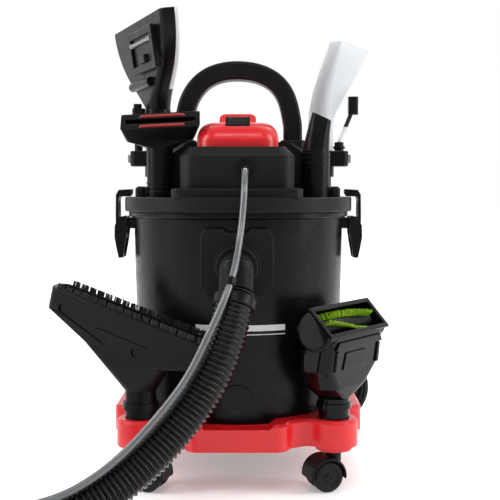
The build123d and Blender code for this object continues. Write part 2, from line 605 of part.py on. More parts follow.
def cord_hook():
    """Bracket on the tank's rear wall with the bar that carries the coil."""
    x, y, z = COIL_AT
    bar_z = z + COIL_R - COIL_SECTION_R - HOOK_BAR_R - GAP
    arm_x, arm_y = HOOK_ARM_AT
    corners = [(arm_x, arm_y, HOOK_PAD_Z), (x, y - 24, HOOK_PAD_Z), (x, y - 24, bar_z), (x, y + 20, bar_z)]
    arm = Pos(*corners[0]) * Sphere(HOOK_BAR_R)
    for start, end in zip(corners, corners[1:]):
        arm += rod(start, end, HOOK_BAR_R) + Pos(*end) * Sphere(HOOK_BAR_R)
    pad = Pos(arm_x, arm_y, HOOK_PAD_Z) * Rot(0, 0, 65) * Box(12, 28, 36)
    return one(arm + pad - tank_outside(0.05))


# ---- accessories stored on the machine ------------------------------------------------------------
def floor_nozzle_place():
    """Middle of the floor nozzle's bar: X along it, +Z out of its mouth, +Y towards the tank."""
    return Pos(*FLOOR_BAR_AT) * Rot(0, 0, FLOOR_BAR_YAW) * Rot(0, FLOOR_BAR_ROLL, 0)


def across(place, z, width, depth, corner, x=0.0, y=0.0):
    """A rounded rectangle at a height in a local frame."""
    return place * (Pos(x, y, z) * RectangleRounded(width, depth, corner))


def cup_section(corner, z, radius):
    """Nearly round section on the axis of a front cup, turned to suit a loft."""
    x, y = CORNERS[corner]
    turn = FLOOR_BAR_YAW if corner == "front_left" else TURBO_YAW
    return Pos(x, y, z) * Rot(0, 0, turn) * RectangleRounded(2 * radius, 2 * radius, radius - 0.1)


def floor_nozzle():
    place = floor_nozzle_place()
    x, y = CORNERS["front_left"]
    bar = extrude(across(place, -10, 250, 38, 14), 30)
    bar = fillet(bar.faces().sort_by(Axis.Z)[-1].edges(), 2.5)
    bar += loft([cup_section("front_left", 128, 20.5), across(place, -33, 124, 36, 14),
                 across(place, -10, 250, 38, 14)], ruled=True)
    bar += disc(SOCKET_R, CUP_FLOOR + GAP, 128, x, y) + disc(SOCKET_R + 3, 103, 112, x, y)
    room = loft([cup_section("front_left", 128, 16.6), across(place, -31, 114, 29, 11),
                 across(place, -8, 238, 25, 8), across(place, 32, 238, 25, 8)], ruled=True)
    room += disc(16.0, CUP_FLOOR - 5, 128, x, y)
    bar -= room
    for side in (1, -1):
        bar -= place * Pos(0, side * 15.8, 17.5) * Box(226.6, 2.8, 9.2)
        window = Pos(side * 60, -16.6, -12) * Rot(0, -side * 14, 0) * Rot(90, 0, 0)
        bar -= place * window * extrude(SlotOverall(88, 13), 6)
    return one(bar)


def floor_nozzle_brushes():
    strips = [one(floor_nozzle_place() * Pos(0, side * 15.8, 22) * Box(226, 2.6, 18)) for side in (1, -1)]
    return Compound(children=strips)


def turbo_place():
    """Axis of the brush roller: X along it, +Y towards the tank."""
    return Pos(*ROLLER_AT) * Rot(0, 0, TURBO_YAW)


def turbo_housing():
    place = turbo_place()
    x, y = CORNERS["front_right"]
    body = place * Rot(0, 90, 0) * Cylinder(26, 133)
    body = fillet(body.edges(), 5)
    body += loft([cup_section("front_right", 118, 20.2), across(place, -74, 92, 46, 20, -3, 7),
                  across(place, -50, 127, 47, 16, -1, 4), across(place, -4, 127, 51, 14)], ruled=True)
    body += disc(SOCKET_R, CUP_FLOOR + GAP, 118, x, y) + disc(SOCKET_R + 2.5, 105, 112, x, y)
    body -= place * Rot(MOUTH_TILT, 0, 0) * Pos(0, 0, MOUTH_OFF + 30) * Box(160, 90, 60)
    body -= place * Rot(0, 90, 0) * Cylinder(22.5, 124)
    body -= place * Pos(-1, 3, TURBINE_DROP) * Rot(0, 90, 0) * Cylinder(17.5, 76)
    body -= place * Pos(-1, 1.5, TURBINE_DROP / 2) * Box(40, 22, 40)
    body -= place * Pos(-54, 1.5, TURBINE_DROP / 2 - 4) * Box(10, 32, 60)
    throat = loft([cup_section("front_right", 122, 16.2), across(place, -58, 60, 28, 12, -1, 3)])
    body -= throat + disc(15.5, CUP_FLOOR - 5, 122, x, y)
    body -= place * Rot(0, 90, 0) * Cylinder(ROLLER_SHAFT_R + FIT, 130)
    body -= place * Pos(-8, 3, TURBINE_DROP) * Rot(0, 90, 0) * Cylinder(TURBINE_SHAFT_R + FIT, 98)
    return one(body)


def brush_roller():
    """Core, shaft, belt pulley and four twisted bristle rows."""
    roller = Rot(0, 90, 0) * Cylinder(11, 104) + Rot(0, 90, 0) * Cylinder(ROLLER_SHAFT_R, 129.4)
    roller += Pos(-56, 0, 0) * Rot(0, 90, 0) * Cylinder(8, 3) + Pos(-52.5, 0, 0) * Rot(0, 90, 0) * Cylinder(9, 2)
    count = 8
    for row in range(4):
        for step in range(count):
            place = Rot(90 * row + 80 * step / count, 0, 0) * Pos(104 / count * (step - (count - 1) / 2), 0, 14)
            roller += place * Box(104 / count + 0.2, 3.5, 12)
    return one(turbo_place() * roller)


def turbine():
    wheel = Pos(-1, 0, 0) * Rot(0, 90, 0) * Cylinder(7, 58)
    wheel += Pos(-8, 0, 0) * Rot(0, 90, 0) * Cylinder(TURBINE_SHAFT_R, 97.4)
    wheel += Pos(-54, 0, 0) * Rot(0, 90, 0) * Cylinder(8, 5)
    for step in range(8):
        wheel += Rot(45 * step, 0, 0) * Pos(-1, 0, 11) * Box(58, 1.8, 9.5)
    return one(turbo_place() * Pos(0, 3, TURBINE_DROP) * wheel)


def turbo_belt():
    """Flat belt round the two pulleys, clear of both."""
    line = Vector(0, 3, TURBINE_DROP)
    turn = math.degrees(math.atan2(-3, -TURBINE_DROP))
    oval = SlotCenterToCenter(line.length, 19.6) - SlotCenterToCenter(line.length, 16.8)
    belt = extrude(oval, 2.4)
    return one(turbo_place() * Pos(-57.2, 1.5, TURBINE_DROP / 2) * Rot(-turn, 0, 0) * Rot(0, 90, 0) * belt)


def upholstery_nozzle():
    """Wide mouth facing up and forward on a neck that slips over the left peg."""
    place = Pos(-99, -74, 462) * Rot(0, -3, 0) * Rot(MOUTH_TILT, 0, 0)
    neck = Pos(-PEG_X, PEG_Y, 432) * RectangleRounded(33, 33, 16.4)
    inner_neck = Pos(-PEG_X, PEG_Y, 432) * RectangleRounded(25, 25, 12.4)
    body = loft([neck, across(place, -14, 90, 30, 7, -2), across(place, 8, 102, 29, 3)], ruled=True)
    body += disc(17.1, LID_Z1 + 0.2, 432, -PEG_X, PEG_Y)
    for z in (374, 380, 386):
        body += disc(17.8, z, z + 2.5, -PEG_X, PEG_Y)
    room = loft([inner_neck, across(place, -12, 80, 20, 8, -2), across(place, 9, 92, 8.5, 3)], ruled=True)
    body -= room + disc(PEG_R + GAP, LID_Z1 - 1, 432, -PEG_X, PEG_Y)
    for side in (1, -1):
        body -= place * Pos(2, side * 9.4, 7.5) * Box(60, 5.4, 2.2)
    return one(body)


def lint_strips():
    place = Pos(-99, -74, 462) * Rot(0, -3, 0) * Rot(MOUTH_TILT, 0, 0)
    return Compound(children=[one(place * Pos(2, side * 9.4, 8.0) * Box(59.6, 5.0, 3.0)) for side in (1, -1)])


def crevice_nozzle():
    """Tapered nozzle with a slanted tip on the right peg."""
    outside = [(0, 430, 35, 35, 17.4), (3, 452, 30, 31, 12), (9, 484, 25, 17, 6)]
    inside = [(0, 430, 28, 28, 13.9), (3, 452, 24, 25, 9), (9, 485, 20, 12, 4)]
    body, room = [loft([Pos(PEG_X + dx, PEG_Y, z) * RectangleRounded(*size) for dx, z, *size in sections], ruled=True)
                  for sections in (outside, inside)]
    body += disc(18.1, LID_Z1 + 0.2, 430, PEG_X, PEG_Y)
    for z in (412, 418, 424):
        body += disc(18.9, z, z + 2.6, PEG_X, PEG_Y)
    body -= room + disc(PEG_R + GAP, LID_Z1 - 1, 430, PEG_X, PEG_Y)
    slant = Pos(PEG_X + 9, PEG_Y, 473) * Rot(0, 25, 0) * Pos(0, 0, 20) * Box(60, 60, 40)
    return one(body - slant)


def extension_tube():
    """Left-hand tube with its foot in the base cup and the locking collar at the top."""
    x, y = CORNERS["rear_left"]
    body = disc(TUBE_R, CUP_FLOOR + GAP, TUBE_Z1, x, y) + disc(SOCKET_R, CUP_FLOOR + GAP, 104, x, y)
    collar = slab(58, 42, 9, 413.5, 436.5, x - 12, y)
    body += fillet(collar.edges().filter_by(Axis.Z, reverse=True), 2)
    body += disc(SOCKET_R + 1, 398, 414, x, y)
    body -= disc(TUBE_R - 2, CUP_FLOOR - 1, TUBE_Z1 + 1, x, y)
    return one(body - block(x - 42, x - 31, y - 8.3, y + 8.3, 418.7, 431.3))


def tube_button():
    """Release button in the collar's outer end."""
    x, y = CORNERS["rear_left"]
    button = block(x - 45.5, x - 34.5, y - 8, y + 8, 419, 431)
    return fillet(button.faces().sort_by(Axis.X)[0].edges(), 1.5)


def fan_place():
    """Middle of the extraction nozzle's mouth: X along it, -Y towards the clear side."""
    return Pos(*FAN_MOUTH_AT) * Rot(0, 0, FAN_YAW) * Rot(-FAN_LEAN, 0, 0)


def fan_solids():
    """Outer fan with its neck, and the room inside it."""
    x, y = CORNERS["rear_left"]
    place = fan_place()
    neck = Pos(x, y, 498) * Rot(0, 0, FAN_YAW) * RectangleRounded(36, 36, 17.9)
    outer = loft([neck, across(place, -96, 118, 32, 13, -6), across(place, -62, 196, 30, 12, -3),
                  across(place, -28, 236, 28, 10), across(place, 0, 245, 27, 8)])
    inner_neck = Pos(x, y, 498) * Rot(0, 0, FAN_YAW) * RectangleRounded(28, 28, 13.9)
    inner = loft([inner_neck, across(place, -96, 104, 12, 5, -6, -5), across(place, -62, 184, 9, 4, -3, -6),
                  across(place, -28, 226, 9, 4, 0, -6), across(place, 1, 236, 9, 4, 0, -6)])
    return outer, inner


def clear_side(gap):
    """Everything on the clear side of the fan, above its shoulder."""
    return fan_place() * Pos(0, -30 - 6 - gap, -45 + gap) * Box(300, 60, 122)


def extraction_nozzle():
    x, y = CORNERS["rear_left"]
    outer, inner = fan_solids()
    body = outer + disc(18.8, TUBE_Z1 + 0.1, 498, x, y) - (inner + disc(14.7, 430, 498, x, y))
    body -= clear_side(0)
    hinge = fan_place() * Pos(-6, 19, -92) * Rot(0, 90, 0) * Cylinder(7, 92)
    body += hinge - outer
    clasp = fan_place() * Pos(-40, 15, -46) * Box(112, 10, 58)
    clasp = fillet(clasp.edges(), 3)
    return one(body + (clasp - outer))


def extraction_window():
    outer, inner = fan_solids()
    return one((outer - inner) & clear_side(GAP))


def spray_jet_left():
    x, y = CORNERS["rear_left"]
    jet = slab(19, 22, 5, 474, 500, x - 29, y) + slab(12, 12, 4, 499, 507, x - 31, y)
    return one(jet + rod((x - 30, y, 475), (x - 30, y, 436.6), 3.2) + disc(6, 436.6, 448, x - 30, y))


def clear_nozzle():
    """Clear upholstery nozzle that leans outwards over the right tube."""
    x, y = CORNERS["rear_right"]
    spine = [(0, 0, 478), (9, -5, 512), (26, -14, 552), (41, -22, 588)]
    outside = [(36, 36, 17.9), (66, 30, 12), (98, 25, 10), (114, 21, 7)]
    inside = [(28, 28, 13.9), (57, 20, 8), (90, 15, 6), (107, 11, 4)]

    def sections(sizes, lift):
        return [Pos(x + dx, y + dy, z + lift * (z - 478) / 110) * Rot(0, 0, CLEAR_YAW) * RectangleRounded(*size)
                for (dx, dy, z), size in zip(spine, sizes)]

    outer = loft(sections(outside, 0))
    inner = loft(sections(inside, 1))
    body = outer + disc(18.8, TUBE_Z1 + 0.1, 478, x, y) - (inner + disc(13.3, 430, 478, x, y))
    return one(body)


def spray_jet_right():
    x, y = CORNERS["rear_right"]
    barrel = disc(7, 436.6, 450, x + 28.5, y + 3) + disc(9, 440, 444, x + 28.5, y + 3)
    pipe = rod((x + 28.5, y + 3, 449), (x + 49, y + 21, 496), 3.2)
    jet = slab(15, 15, 4, 493, 520, x + 51.5, y + 22)
    return one(barrel + pipe + jet)


# ---- writing the parts ------------------------------------------------------------------------------
def all_nodes():
    """Every node by name, about the tank's axis."""
    nodes = {
        "dolly_base": dolly_base(), "base_screws": base_screws(), "caster_stems": caster_stems(), "tank": tank(),
        "inlet_fitting": inlet_fitting(), "lid": lid(), "head_housing": head_housing(), "top_cover": top_cover(),
        "power_switch": power_switch(), "carry_handle": carry_handle(), "motor_stator": motor_stator(),
        "motor_rotor": motor_rotor(), "fan_impeller": fan_impeller(), "filter_cage": filter_cage(),
        "filter_cartridge": filter_cartridge(), "float_ball": float_ball(), "water_pump": water_pump(),
        "fluid_port": fluid_port(), "hose_cuff": hose_cuff(), "hose": hose(), "fluid_tube": fluid_tube(),
        "hose_clips": hose_clips(), "spray_handle": spray_handle(), "spray_trigger": spray_trigger(),
        "cord_gland": cord_gland(), "power_cord": power_cord(), "cord_coil": cord_coil(),
        "power_plug": power_plug(), "cord_hook": cord_hook(), "floor_nozzle": floor_nozzle(),
        "floor_nozzle_brushes": floor_nozzle_brushes(), "turbo_housing": turbo_housing(),
        "brush_roller": brush_roller(), "turbine": turbine(), "turbo_belt": turbo_belt(),
        "upholstery_nozzle": upholstery_nozzle(), "lint_strips": lint_strips(), "crevice_nozzle": crevice_nozzle(),
        "extraction_nozzle": extraction_nozzle(), "extraction_window": extraction_window(),
        "spray_jet_left": spray_jet_left(), "clear_nozzle": clear_nozzle(), "spray_jet_right": spray_jet_right(),
        "latch_brackets": Compound(children=[latch_bracket(), mirrored(latch_bracket())]),
    }
    for part, shape in (("lever", latch_lever()), ("claw", latch_claw())):
        nodes[f"latch_{part}_right"] = shape
        nodes[f"latch_{part}_left"] = mirrored(shape)
    for part, shape in (("extension_tube", extension_tube()), ("tube_button", tube_button())):
        nodes[f"{part}_left"] = shape
        nodes[f"{part}_right"] = mirrored(shape)
    housing = caster_housing()
    wheels = caster_wheels()
    for corner in CORNERS:
        nodes[f"caster_housing_{corner}"] = placed_caster(housing, corner)
        nodes[f"caster_wheels_{corner}"] = Compound(children=[placed_caster(wheel, corner) for wheel in wheels])
    return nodes


CORD_NODES = ["hose", "fluid_tube", "hose_clips", "power_cord", "cord_coil", "power_plug"]


def origin_shift(nodes):
    """Move that puts the origin at the bottom centre of the box of the parts that aren't cords."""
    boxes = [shape.bounding_box() for name, shape in nodes.items() if name not in CORD_NODES]
    x = (min(box.min.X for box in boxes) + max(box.max.X for box in boxes)) / 2
    y = (min(box.min.Y for box in boxes) + max(box.max.Y for box in boxes)) / 2
    return Pos(-x, -y, -min(box.min.Z for box in boxes))


def write_parts():
    os.makedirs("parts", exist_ok=True)
    nodes = all_nodes()
    shift = origin_shift(nodes)
    print("the tank's axis is at", [round(value, 4) for value in tuple(shift.position)])
    for name, shape in nodes.items():
        export_step(shift * shape, f"parts/{name}.step")


if __name__ == "__main__":
    write_parts()
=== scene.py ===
"""Shop vacuum: camera, light, cords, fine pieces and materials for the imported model, in metres."""
import json
import math
import random

import bpy
from mathutils import Matrix, Vector


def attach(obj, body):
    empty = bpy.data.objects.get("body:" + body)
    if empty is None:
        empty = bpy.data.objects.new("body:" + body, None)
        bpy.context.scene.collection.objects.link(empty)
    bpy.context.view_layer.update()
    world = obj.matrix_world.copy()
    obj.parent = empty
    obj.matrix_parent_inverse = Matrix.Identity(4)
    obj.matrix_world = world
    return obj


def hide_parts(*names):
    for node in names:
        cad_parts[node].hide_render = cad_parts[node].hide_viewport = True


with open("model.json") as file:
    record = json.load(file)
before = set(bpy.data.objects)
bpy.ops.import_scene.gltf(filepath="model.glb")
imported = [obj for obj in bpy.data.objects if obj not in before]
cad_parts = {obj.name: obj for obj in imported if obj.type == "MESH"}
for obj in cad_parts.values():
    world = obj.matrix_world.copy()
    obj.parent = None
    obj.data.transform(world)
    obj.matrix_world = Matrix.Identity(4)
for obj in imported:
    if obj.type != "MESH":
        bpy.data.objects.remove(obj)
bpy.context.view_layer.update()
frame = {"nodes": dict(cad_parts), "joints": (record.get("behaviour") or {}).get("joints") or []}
NODES = frame["nodes"]

# The tank's axis in the frame: every place below is measured from it.
MOTOR = next(joint for joint in frame["joints"] if joint["name"] == "motor_spin")
AXIS = Vector((MOTOR["pos_m"][0], MOTOR["pos_m"][1], 0))

# ---- driving dimensions -----------------------------------------------------------------------
CAMERA_AT = Vector((0.016, -1.250, 0.379))
CAMERA_PITCH = 3.83
CAMERA_LENS = 65.1

HOSE_R = 0.0225
HOSE_PITCH = 0.006
CUFF_R = 0.02025
TUBE_R = 0.004
CORD_R = 0.0035
HOSE_ROUTE = [(0, -0.210, 0.257), (-0.012, -0.247, 0.195), (-0.056, -0.270, 0.125), (-0.121, -0.302, 0.063),
              (-0.203, -0.340, 0.025), (-0.318, -0.362, 0.0226), (-0.428, -0.338, 0.0226),
              (-0.508, -0.272, 0.0226), (-0.550, -0.178, 0.0226), (-0.558, -0.076, 0.0226),
              (-0.552, 0.020, 0.026)]
TUBE_ROUTE = [(0.010, -0.142, 0.402), (0.0095, -0.160, 0.392), (0.009, -0.172, 0.372), (0.007, -0.178, 0.345),
              (0.003, -0.196, 0.313), (-0.002, -0.222, 0.286), (-0.010, -0.244, 0.262),
              (-0.028, -0.260, 0.222), (-0.052, -0.275, 0.174), (-0.077, -0.288, 0.142),
              (-0.108, -0.302, 0.108), (-0.142, -0.320, 0.080), (-0.184, -0.339, 0.060),
              (-0.248, -0.353, 0.0515), (-0.326, -0.357, 0.0505), (-0.402, -0.341, 0.0505),
              (-0.462, -0.304, 0.0505), (-0.506, -0.262, 0.0505), (-0.537, -0.205, 0.0505),
              (-0.551, -0.140, 0.0505), (-0.556, -0.076, 0.0505), (-0.554, -0.022, 0.053),
              (-0.552, 0.022, 0.056)]
CORD_ROUTE = [(0.060, 0.122, 0.404), (0.060, 0.142, 0.402), (0.063, 0.160, 0.388), (0.070, 0.172, 0.352),
              (0.080, 0.179, 0.300), (0.092, 0.182, 0.235), (0.102, 0.182, 0.165), (0.106, 0.182, 0.108)]
COIL_AT = Vector((0.148, 0.182, 0.064))
COIL_R = 0.042
COIL_TURNS = 18
COIL_INNER_TURNS = 6
COIL_STEPS = 14
CORD_TAIL = [(0.137, 0.200, 0.108), (0.122, 0.210, 0.105), (0.111, 0.217, 0.093), (0.108, 0.218, 0.076)]

FLOOR_BAR_AT = Vector((-0.132, -0.127, 0.205))
FLOOR_BAR_TURN = (0, 15, -27)
ROLLER_AT = Vector((0.1325, -0.1237, 0.209))
ROLLER_TURN = 52
ROLLER_HALF = 0.049         # tufts stand this far either side of the roller's middle
ROLLER_TWIST = 80
ROLLER_TUFTS = 15
ROLLER_HAIRS = 44
TUFTS = 17                  # in each row of the floor nozzle
TUFT_PITCH = 0.0133
TUFT_HAIRS = 80
TUFT_HALF = (0.0055, 0.0011)
BRISTLE_ROW = 0.0158
BRISTLE_ROOT = 0.0135
BRISTLE_TOP = 0.0270
JET_PIPE_Z0 = 0.4505        # the clear length of the spray jets' pipes
JET_PIPE_Z1 = 0.4735
LINT_AT = Vector((-0.099, -0.074, 0.462))
LINT_ROLL = -3
LINT_SIZE = (0.0592, 0.0048)
MOUTH_TILT = 46             # mouths of the turbo brush and the upholstery nozzle, from level
TURBO_FRONT_SLOPE = 7.4     # the turbo brush's front face, from upright
FAN_MOUTH_AT = Vector((-0.143, 0.1225, 0.629))
FAN_TURN = 113.6
FAN_LEAN = -8.4
BAND_FROM, BAND_TO = 6, 16  # steps along the hose where its band starts and where it points
MARK_LEFT, MARK_RIGHT = -0.052, 0.060
TANK_Z0 = 0.062             # the tank's wall: its foot, its height and its radius at both
TANK_HEIGHT = 0.288
TANK_R0 = 0.137
TANK_R1 = 0.143
FLOOR_SIZE = 12
SEED = 11


def at(x, y, z):
    """A point given from the tank's axis, in the frame."""
    return AXIS + Vector((x, y, z))


def turn_matrix(x, y, z):
    """Rotation about X, then Y, then Z, in degrees."""
    return (Matrix.Rotation(math.radians(z), 4, "Z") @ Matrix.Rotation(math.radians(y), 4, "Y")
            @ Matrix.Rotation(math.radians(x), 4, "X"))


def placed(point, *turns):
    """The frame of a sub-part: its origin, given from the tank's axis, then its turns in order."""
    place = Matrix.Translation(at(*point))
    for turn in turns:
        place = place @ turn_matrix(*turn)
    return place


# ---- camera and light ---------------------------------------------------------------------------
def make_camera():
    """A long lens in front of the machine, tipped down a little."""
    data = bpy.data.cameras.new("camera")
    data.lens = CAMERA_LENS
    data.sensor_width = 36
    camera = bpy.data.objects.new("camera", data)
    camera.location = at(*CAMERA_AT)
    camera.rotation_euler = (math.radians(90 - CAMERA_PITCH), 0, 0)
    bpy.context.scene.collection.objects.link(camera)
    bpy.context.scene.camera = camera


def softbox(name, place, size, power):
    """A large square lamp aimed at the tank's middle."""
    data = bpy.data.lights.new(name, "AREA")
    data.shape = "RECTANGLE"
    data.size, data.size_y = size
    data.energy = power
    lamp = bpy.data.objects.new(name, data)
    lamp.location = at(*place)
    lamp.rotation_euler = (at(0, 0, 0.28) - lamp.location).to_track_quat("-Z", "Y").to_euler()
    bpy.context.scene.collection.objects.link(lamp)


def make_studio():
    """Softboxes, a backdrop that is bright behind the machine and dim before it, and the floor, which glows
    with painted light.
    """
    softbox("key_left", (-1.7, -0.5, 1.2), (0.6, 1.6), 24)
    softbox("key_right", (1.7, -0.4, 1.1), (0.6, 1.6), 22)
    softbox("front_top", (0.1, -1.5, 2.3), (1.4, 0.6), 13)
    softbox("back_top", (0.0, 1.6, 2.0), (2.2, 1.0), 30)
    world = bpy.data.worlds.new("studio")
    bpy.context.scene.world = world
    world.use_nodes = True
    tree = world.node_tree
    place = node(tree, "ShaderNodeTexCoord")
    split = node(tree, "ShaderNodeSeparateXYZ", [(place.outputs["Generated"], "Vector")])
    backdrop = tree.nodes["Background"]
    backdrop.inputs["Color"].default_value = (1, 1, 1, 1)
    tree.links.new(remap(tree, split.outputs["Y"], -0.2, 0.6, 0.22, 1.0), backdrop.inputs["Strength"])
    bpy.context.scene.view_settings.view_transform = "Standard"
    corners = [at(x * FLOOR_SIZE, y * FLOOR_SIZE, 0) for x, y in ((-1, -1), (1, -1), (1, 1), (-1, 1))]
    floor = mesh_object("floor", corners, [(0, 1, 2, 3)], MATERIALS["floor"], smooth=False)


# ---- material building ------------------------------------------------------------------------
def new_material(name):
    """A node material with its tree and its shader."""
    material = bpy.data.materials.new(name)
    material.use_nodes = True
    tree = material.node_tree
    return material, tree, tree.nodes["Principled BSDF"]


def node(tree, kind, links=(), **values):
    """A node with its plain sockets set and its inputs linked from (output, input) pairs."""
    made = tree.nodes.new(kind)
    for key, value in values.items():
        if hasattr(made, key):
            setattr(made, key, value)
        else:
            made.inputs[key.replace("_", " ")].default_value = value
    for output, name in links:
        tree.links.new(output, made.inputs[name])
    return made


def noise(tree, scale, detail=2.0, stretch=(1, 1, 1)):
    """Noise in the object's own coordinates, in metres."""
    place = node(tree, "ShaderNodeTexCoord")
    scaled = node(tree, "ShaderNodeMapping", [(place.outputs["Object"], "Vector")], Scale=stretch)
    return node(tree, "ShaderNodeTexNoise", [(scaled.outputs["Vector"], "Vector")], Scale=scale,
                Detail=detail).outputs["Fac"]


def remap(tree, value, low, high, out_low, out_high):
    """A value socket brought from one range to another, held at the ends."""
    made = node(tree, "ShaderNodeMapRange", [(value, "Value")])
    for name, number in (("From Min", low), ("From Max", high), ("To Min", out_low), ("To Max", out_high)):
        made.inputs[name].default_value = number
    return made.outputs["Result"]


def mixed(tree, factor, first, second):
    """A colour between two, by a factor socket; each may be a socket or a colour."""
    made = node(tree, "ShaderNodeMix", data_type="RGBA")
    tree.links.new(factor, made.inputs["Factor"])
    for name, value in (("A", first), ("B", second)):
        socket = next(s for s in made.inputs if s.name == name and s.type == "RGBA")
        if isinstance(value, tuple):
            socket.default_value = (*value, 1)
        else:
            tree.links.new(value, socket)
    return next(s for s in made.outputs if s.type == "RGBA")


def edge_mask(tree, radius):
    """1 near sharp edges and 0 on flat faces."""
    bevel = node(tree, "ShaderNodeBevel", samples=4, Radius=radius)
    geometry = node(tree, "ShaderNodeNewGeometry")
    dot = node(tree, "ShaderNodeVectorMath", operation="DOT_PRODUCT")
    tree.links.new(bevel.outputs["Normal"], dot.inputs[0])
    tree.links.new(geometry.outputs["Normal"], dot.inputs[1])
    return remap(tree, dot.outputs["Value"], 0.99, 0.75, 0.0, 1.0)


def plastic(name, color, roughness, grain=0.25, grain_size=0.0009, bevel=0.0007, worn=1.8, coat=0.0,
            transmission=0.0, mottle=0.16, specular=0.15):
    """Moulded plastic: uneven colour and gloss, fine grain, soft and slightly rubbed edges."""
    material, tree, shader = new_material(name)
    uneven = remap(tree, noise(tree, 22, 4), 0.3, 0.7, 0.0, 1.0)
    dark = tuple(c * (1 - mottle) for c in color)
    light = tuple(min(1.0, c * (1 + mottle)) for c in color)
    body = mixed(tree, uneven, dark, light)
    edge = tuple(min(1.0, c * worn + 0.006) for c in color)
    tree.links.new(mixed(tree, edge_mask(tree, bevel * 1.6), body, edge), shader.inputs["Base Color"])
    rough = remap(tree, noise(tree, 70, 3), 0.3, 0.7, roughness - 0.05, roughness + 0.06)
    tree.links.new(rough, shader.inputs["Roughness"])
    soft = node(tree, "ShaderNodeBevel", samples=4, Radius=bevel)
    grains = noise(tree, 1 / grain_size, 2)
    bump = node(tree, "ShaderNodeBump", [(grains, "Height"), (soft.outputs["Normal"], "Normal")],
                Strength=grain, Distance=0.0002)
    tree.links.new(bump.outputs["Normal"], shader.inputs["Normal"])
    shader.inputs["Coat Weight"].default_value = coat
    shader.inputs["Transmission Weight"].default_value = transmission
    shader.inputs["Specular IOR Level"].default_value = specular
    return material


def metal(name, color, roughness, brushed=0.0):
    """Polished or turned metal with fine scratches."""
    material, tree, shader = new_material(name)
    scratch = noise(tree, 260, 3, (1, 1, 9))
    tree.links.new(mixed(tree, scratch, tuple(c * 0.85 for c in color), color), shader.inputs["Base Color"])
    tree.links.new(remap(tree, scratch, 0.3, 0.7, roughness, roughness + 0.12), shader.inputs["Roughness"])
    soft = node(tree, "ShaderNodeBevel", samples=4, Radius=0.0004)
    bump = node(tree, "ShaderNodeBump", [(scratch, "Height"), (soft.outputs["Normal"], "Normal")],
                Strength=0.06 + brushed, Distance=0.0001)
    tree.links.new(bump.outputs["Normal"], shader.inputs["Normal"])
    shader.inputs["Metallic"].default_value = 1.0
    return material


def frosted_clear(name, color, roughness, transmission):
    """Clear moulded plastic with faint flow marks."""
    material, tree, shader = new_material(name)
    flow = noise(tree, 30, 3, (1, 1, 0.3))
    tree.links.new(mixed(tree, flow, tuple(c * 0.94 for c in color), color), shader.inputs["Base Color"])
    tree.links.new(remap(tree, flow, 0.3, 0.7, roughness, roughness + 0.15), shader.inputs["Roughness"])
    soft = node(tree, "ShaderNodeBevel", samples=6, Radius=0.0006)
    bump = node(tree, "ShaderNodeBump", [(flow, "Height"), (soft.outputs["Normal"], "Normal")],
                Strength=0.04, Distance=0.0004)
    tree.links.new(bump.outputs["Normal"], shader.inputs["Normal"])
    shader.inputs["Transmission Weight"].default_value = transmission
    shader.inputs["IOR"].default_value = 1.46
    return material


def jet_plastic():
    """Black fittings joined by a length of clear pipe between two heights."""
    material = plastic("jet_black", (0.0070, 0.0070, 0.0075), 0.34, 0.2, 0.0009, 0.0006, 1.7)
    tree = material.node_tree
    shader = tree.nodes["Principled BSDF"]
    place = node(tree, "ShaderNodeTexCoord")
    height = node(tree, "ShaderNodeSeparateXYZ", [(place.outputs["Object"], "Vector")]).outputs["Z"]
    above = remap(tree, height, JET_PIPE_Z0, JET_PIPE_Z0 + 0.0004, 0.0, 1.0)
    pipe = remap(tree, height, JET_PIPE_Z1, JET_PIPE_Z1 + 0.0004, 1.0, 0.0)
    both = node(tree, "ShaderNodeMath", [(above, 0), (pipe, 1)], operation="MULTIPLY").outputs[0]
    black = shader.inputs["Base Color"].links[0].from_socket
    tree.links.new(mixed(tree, both, black, (0.80, 0.82, 0.84)), shader.inputs["Base Color"])
    tree.links.new(remap(tree, both, 0.0, 1.0, 0.0, 0.75), shader.inputs["Transmission Weight"])
    return material


def fabric(name, color, weave=1500):
    """Short napped cloth with sheen."""
    material, tree, shader = new_material(name)
    nap = noise(tree, weave, 4)
    tree.links.new(mixed(tree, remap(tree, nap, 0.3, 0.7, 0, 1), tuple(c * 0.45 for c in color), color),
                   shader.inputs["Base Color"])
    bump = node(tree, "ShaderNodeBump", [(nap, "Height")], Strength=0.8, Distance=0.0005)
    tree.links.new(bump.outputs["Normal"], shader.inputs["Normal"])
    shader.inputs["Roughness"].default_value = 0.9
    shader.inputs["Sheen Weight"].default_value = 0.35
    return material


def bristle(name, root, tip):
    """Nylon hair whose colour varies from hair to hair."""
    material, tree, shader = new_material(name)
    tree.links.new(mixed(tree, remap(tree, noise(tree, 420, 2), 0.35, 0.65, 0, 1), root, tip),
                   shader.inputs["Base Color"])
    tree.links.new(remap(tree, noise(tree, 900, 1), 0.3, 0.7, 0.3, 0.5), shader.inputs["Roughness"])
    return material


def glowing_floor():
    """Pale studio floor that glows with painted light, weakly near and before the machine and more strongly
    behind it.
    """
    material, tree, shader = new_material("floor")
    shade = remap(tree, noise(tree, 3, 2), 0.3, 0.7, 0.0, 1.0)
    tree.links.new(mixed(tree, shade, (0.90, 0.90, 0.90), (0.93, 0.93, 0.93)), shader.inputs["Base Color"])
    shader.inputs["Roughness"].default_value = 0.7
    # Painted light: the floor emits light of its own, from 0.26 in front to 0.60 behind the machine. This
    # lightens the machine's shadow and hides the horizon.
    shader.inputs["Emission Color"].default_value = (1, 1, 1, 1)
    place = node(tree, "ShaderNodeTexCoord")
    split = node(tree, "ShaderNodeSeparateXYZ", [(place.outputs["Object"], "Vector")])
    tree.links.new(remap(tree, split.outputs["Y"], 0.1, 1.8, 0.26, 0.60), shader.inputs["Emission Strength"])
    return material


